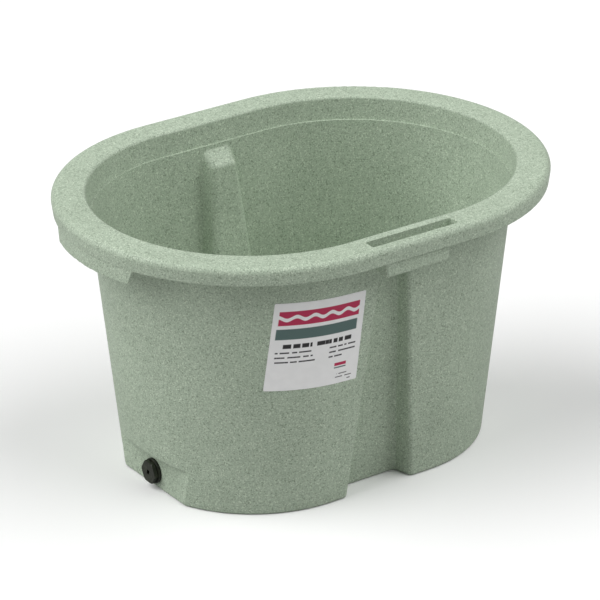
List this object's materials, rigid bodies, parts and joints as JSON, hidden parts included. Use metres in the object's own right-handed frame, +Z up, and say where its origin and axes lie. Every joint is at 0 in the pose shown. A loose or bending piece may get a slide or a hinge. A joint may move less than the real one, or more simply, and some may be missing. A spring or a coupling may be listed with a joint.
{
  "type": "livestock water trough",
  "caption": "Oval one-piece plastic stock tank with a folded-down rim, end grips, rim slot, side grooves and a screw-in drain plug.",
  "frame": {"origin": "on the ground plane under the middle of the oval", "axes": "+X along the long axis away from the drain end, -Y to the front with the rim slot and label, +Z up"},
  "size_m": [1.0954, 0.8374, 0.625],
  "materials": {
    "tank_plastic": "matte sage-green polyethylene with a fine granite fleck",
    "fitting_plastic": "satin black moulded plastic",
    "plug_plastic": "satin black moulded plastic, slightly scuffed",
    "washer_plastic": "natural white plastic",
    "seal_rubber": "matte black rubber",
    "label_film": "white printed vinyl film, semi-gloss"
  },
  "bodies": {
    "tank": {"tank_shell": "tank_plastic", "drain_body": "fitting_plastic", "body_gasket": "seal_rubber", "slip_ring": "washer_plastic", "drain_locknut": "fitting_plastic", "side_label": "label_film"},
    "plug_seal": {"plug_gasket": "seal_rubber"},
    "plug": {"drain_plug": "plug_plastic"}
  },
  "joints": [
    {"name": "plug_travel", "type": "slide", "parent": "tank", "child": "plug_seal", "axis": [-1, 0, 0], "range_m": [0, 0.01988]},
    {"name": "plug_turn", "type": "hinge", "parent": "plug_seal", "child": "plug", "pos_m": [-0.39, 0, 0.0375], "axis": [-1, 0, 0], "range_deg": [0, 3240]}
  ],
  "couplings": [
    {"joint": "plug_travel", "follows": "plug_turn", "m_per_rad": 0.00035152}
  ]
}
